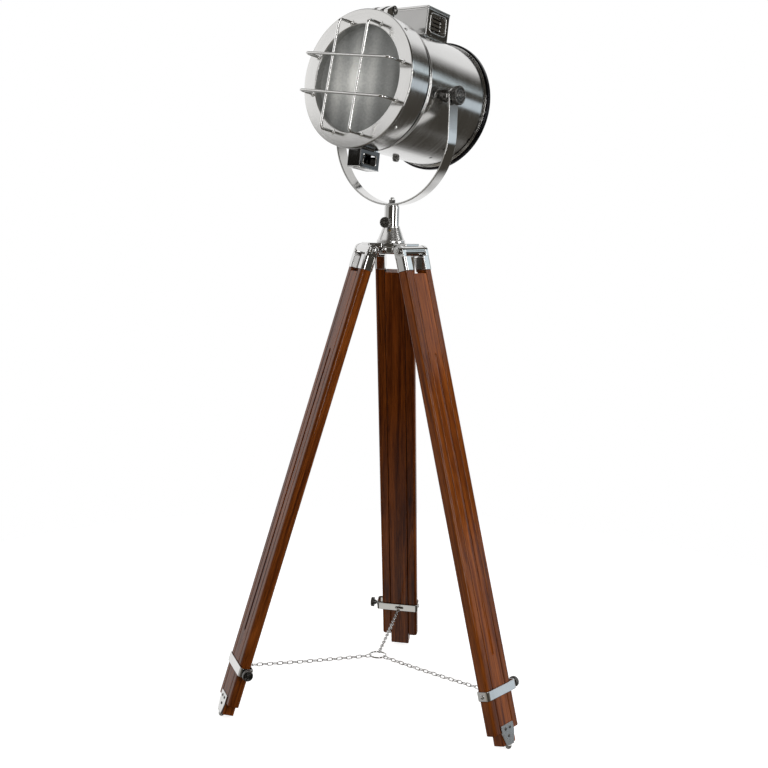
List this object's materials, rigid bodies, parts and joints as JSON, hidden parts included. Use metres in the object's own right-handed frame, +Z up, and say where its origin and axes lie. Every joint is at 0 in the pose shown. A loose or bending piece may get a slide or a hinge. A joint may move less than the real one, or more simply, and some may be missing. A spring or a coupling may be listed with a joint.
{
  "type": "tripod floor lamp",
  "caption": "Spotlight floor lamp: nickel-plated drum with hinged glass door and wire guard, in a tilting yoke on a folding wooden tripod with telescopic legs and a spreader chain",
  "frame": {"origin": "on the floor, at the middle of the footprint of the box that holds the whole lamp", "axes": "+Z up; the spotlight faces -Y when its pan is at rest; +X is to the right of someone who looks along +Y"},
  "size_m": [0.608, 0.6756, 1.5784],
  "materials": {
    "nickel": "polished nickel plate, mirror bright",
    "satin_nickel": "satin nickel plate, finely brushed round",
    "dark_nickel": "smoked nickel plate, darker than the rest",
    "varnished_wood": "reddish-brown hardwood under gloss varnish",
    "frosted_glass": "frosted glass",
    "bulb_glass": "opal glass",
    "brass": "plain brass",
    "porcelain": "glazed porcelain",
    "aluminium": "bright spun aluminium"
  },
  "bodies": {
    "stand": {"hub_spider": "nickel", "hub_cone": "nickel", "socket_tube": "nickel", "tube_set_screw": "brass", "chain_ring": "nickel"},
    "tube_clamp": {"tube_thumb_screw": "dark_nickel"},
    "fork": {"yoke": "nickel", "yoke_stem": "nickel", "stem_nut": "dark_nickel"},
    "spotlight": {"drum": "satin_nickel", "rear_cap": "satin_nickel", "tilt_bosses": "dark_nickel", "case_screws": "nickel", "top_box": "nickel", "vent_panels": "nickel", "cable_gland": "dark_nickel", "reflector": "aluminium", "lampholder": "porcelain", "holder_bracket": "nickel", "bulb": "bulb_glass", "catch_keeper": "nickel", "hinge_base": "nickel", "hinge_pin": "dark_nickel"},
    "right_knob": {"right_tilt_knob": "dark_nickel"},
    "left_knob": {"left_tilt_knob": "dark_nickel"},
    "door": {"hinge_leaf": "nickel", "bezel": "satin_nickel", "bezel_screws": "nickel", "lens": "frosted_glass", "lens_ring": "dark_nickel", "wire_guard": "nickel", "bottom_box": "nickel", "door_catch": "nickel"},
    "side_leg": {"side_outer_slats": "varnished_wood", "side_ferrules": "nickel", "side_hinge_bolt": "nickel", "side_clamp_band": "nickel", "side_chain": "nickel"},
    "side_extension": {"side_inner_slat": "varnished_wood", "side_foot_shoe": "nickel", "side_shoe_screws": "nickel"},
    "side_clamp": {"side_clamp_screw": "dark_nickel"},
    "rear_leg": {"rear_outer_slats": "varnished_wood", "rear_ferrules": "nickel", "rear_hinge_bolt": "nickel", "rear_clamp_band": "nickel", "rear_chain": "nickel"},
    "rear_extension": {"rear_inner_slat": "varnished_wood", "rear_foot_shoe": "nickel", "rear_shoe_screws": "nickel"},
    "rear_clamp": {"rear_clamp_screw": "dark_nickel"},
    "front_leg": {"front_outer_slats": "varnished_wood", "front_ferrules": "nickel", "front_hinge_bolt": "nickel", "front_clamp_band": "nickel", "front_chain": "nickel"},
    "front_extension": {"front_inner_slat": "varnished_wood", "front_foot_shoe": "nickel", "front_shoe_screws": "nickel"},
    "front_clamp": {"front_clamp_screw": "dark_nickel"}
  },
  "joints": [
    {"name": "pan", "type": "hinge", "parent": "stand", "child": "fork", "pos_m": [-0.07433, -0.00488, 1.146], "axis": [0, 0, 1], "continuous": true},
    {"name": "tube_clamp_turn", "type": "hinge", "parent": "stand", "child": "tube_clamp", "pos_m": [-0.07433, -0.00488, 1.111], "axis": [0.225, -0.9744, 0], "range_deg": [0, 720]},
    {"name": "tilt", "type": "hinge", "parent": "fork", "child": "spotlight", "pos_m": [-0.07433, -0.00488, 1.38], "axis": [1, 0, 0], "range_deg": [-50, 60]},
    {"name": "right_knob_turn", "type": "hinge", "parent": "spotlight", "child": "right_knob", "pos_m": [0.07637, -0.00488, 1.38], "axis": [1, 0, 0], "range_deg": [0, 720]},
    {"name": "left_knob_turn", "type": "hinge", "parent": "spotlight", "child": "left_knob", "pos_m": [-0.22503, -0.00488, 1.38], "axis": [-1, 0, 0], "range_deg": [0, 720]},
    {"name": "door_open", "type": "hinge", "parent": "spotlight", "child": "door", "pos_m": [-0.07433, -0.05376, 1.55627], "axis": [-1, 0, 0], "range_deg": [0, 100]},
    {"name": "side_leg_fold", "type": "hinge", "parent": "stand", "child": "side_leg", "pos_m": [-0.01636, -0.0068, 1.05], "axis": [0.0332, 0.9995, 0], "range_deg": [0, 15], "deforming": ["side_chain"]},
    {"name": "side_leg_slide", "type": "slide", "parent": "side_leg", "child": "side_extension", "axis": [0.2805, -0.0093, -0.9598], "range_m": [0, 0.5]},
    {"name": "side_clamp_turn", "type": "hinge", "parent": "side_leg", "child": "side_clamp", "pos_m": [0.25755, 0.02914, 0.11789], "axis": [0.0332, 0.9995, 0], "range_deg": [0, 720]},
    {"name": "rear_leg_fold", "type": "hinge", "parent": "stand", "child": "rear_leg", "pos_m": [-0.10165, 0.04629, 1.05], "axis": [-0.8821, -0.471, 0], "range_deg": [0, 15], "deforming": ["rear_chain"]},
    {"name": "rear_leg_slide", "type": "slide", "parent": "rear_leg", "child": "rear_extension", "axis": [-0.1322, 0.2476, -0.9598], "range_m": [0, 0.5]},
    {"name": "rear_clamp_turn", "type": "hinge", "parent": "rear_leg", "child": "rear_clamp", "pos_m": [-0.26973, 0.26553, 0.11789], "axis": [-0.8821, -0.471, 0], "range_deg": [0, 720]},
    {"name": "front_leg_fold", "type": "hinge", "parent": "stand", "child": "front_leg", "pos_m": [-0.10498, -0.05412, 1.05], "axis": [0.849, -0.5284, 0], "range_deg": [0, 15], "deforming": ["front_chain"]},
    {"name": "front_leg_slide", "type": "slide", "parent": "front_leg", "child": "front_extension", "axis": [-0.1483, -0.2383, -0.9598], "range_m": [0, 0.5]},
    {"name": "front_clamp_turn", "type": "hinge", "parent": "front_leg", "child": "front_clamp", "pos_m": [-0.21081, -0.3093, 0.11789], "axis": [0.849, -0.5284, 0], "range_deg": [0, 720]}
  ]
}
